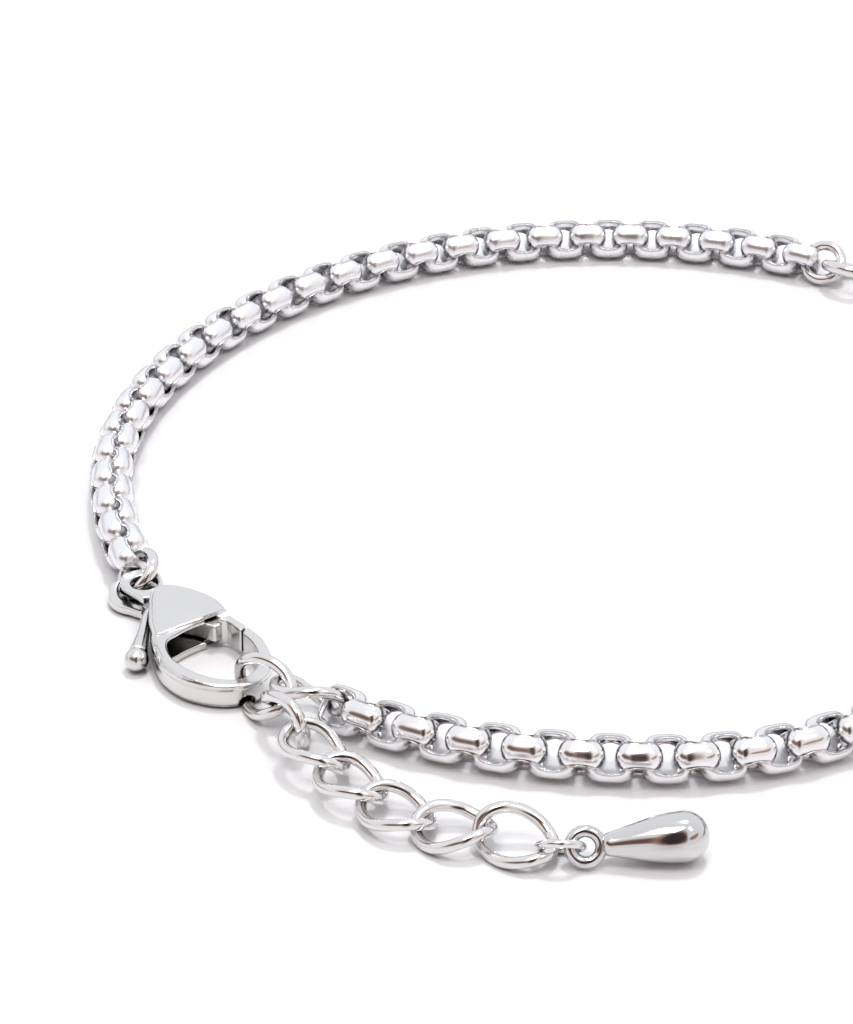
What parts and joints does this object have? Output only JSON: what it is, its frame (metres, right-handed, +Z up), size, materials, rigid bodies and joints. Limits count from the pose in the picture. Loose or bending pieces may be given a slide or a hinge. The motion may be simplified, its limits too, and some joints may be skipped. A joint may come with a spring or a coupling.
{
  "type": "chain bracelet",
  "caption": "Rounded box chain bracelet lying in a loop, with a lobster claw clasp hooked on an extension of twisted oval links that ends in a solid teardrop.",
  "frame": {"origin": "bottom centre of the bracelet's box, on the surface that it lies on", "axes": "+Z up from the surface; +Y away from the free end, towards the far side of the loop; +X to the side of the joining ring"},
  "size_m": [0.0637, 0.0722, 0.0034],
  "materials": {
    "box_chain": "polished",
    "link_wire": "polished",
    "cast_steel": "polished faces, rough cast edges",
    "drop": "mirror polished"
  },
  "bodies": {
    "bracelet": {"clasp_body": "cast_steel", "clasp_pin": "cast_steel", "clasp_ring": "link_wire", "long_chain": "box_chain", "far_ring": "link_wire", "joining_ring": "link_wire", "near_ring": "link_wire", "near_chain": "box_chain", "chain_link": "link_wire", "hook_link": "link_wire", "extender_link_1": "link_wire", "extender_link_2": "link_wire", "extender_link_3": "link_wire", "extender_link_4": "link_wire", "extender_link_5": "link_wire", "extender_link_6": "link_wire", "drop_ring": "link_wire", "drop": "drop"},
    "lever": {"clasp_lever": "cast_steel"}
  },
  "joints": [
    {"name": "lever_hinge", "type": "hinge", "parent": "bracelet", "child": "lever", "pos_m": [-0.02594, -0.01316, 0.0011], "axis": [0, 0, -1], "range_deg": [0, 18], "stiffness_Nm_per_rad": 0.002}
  ]
}
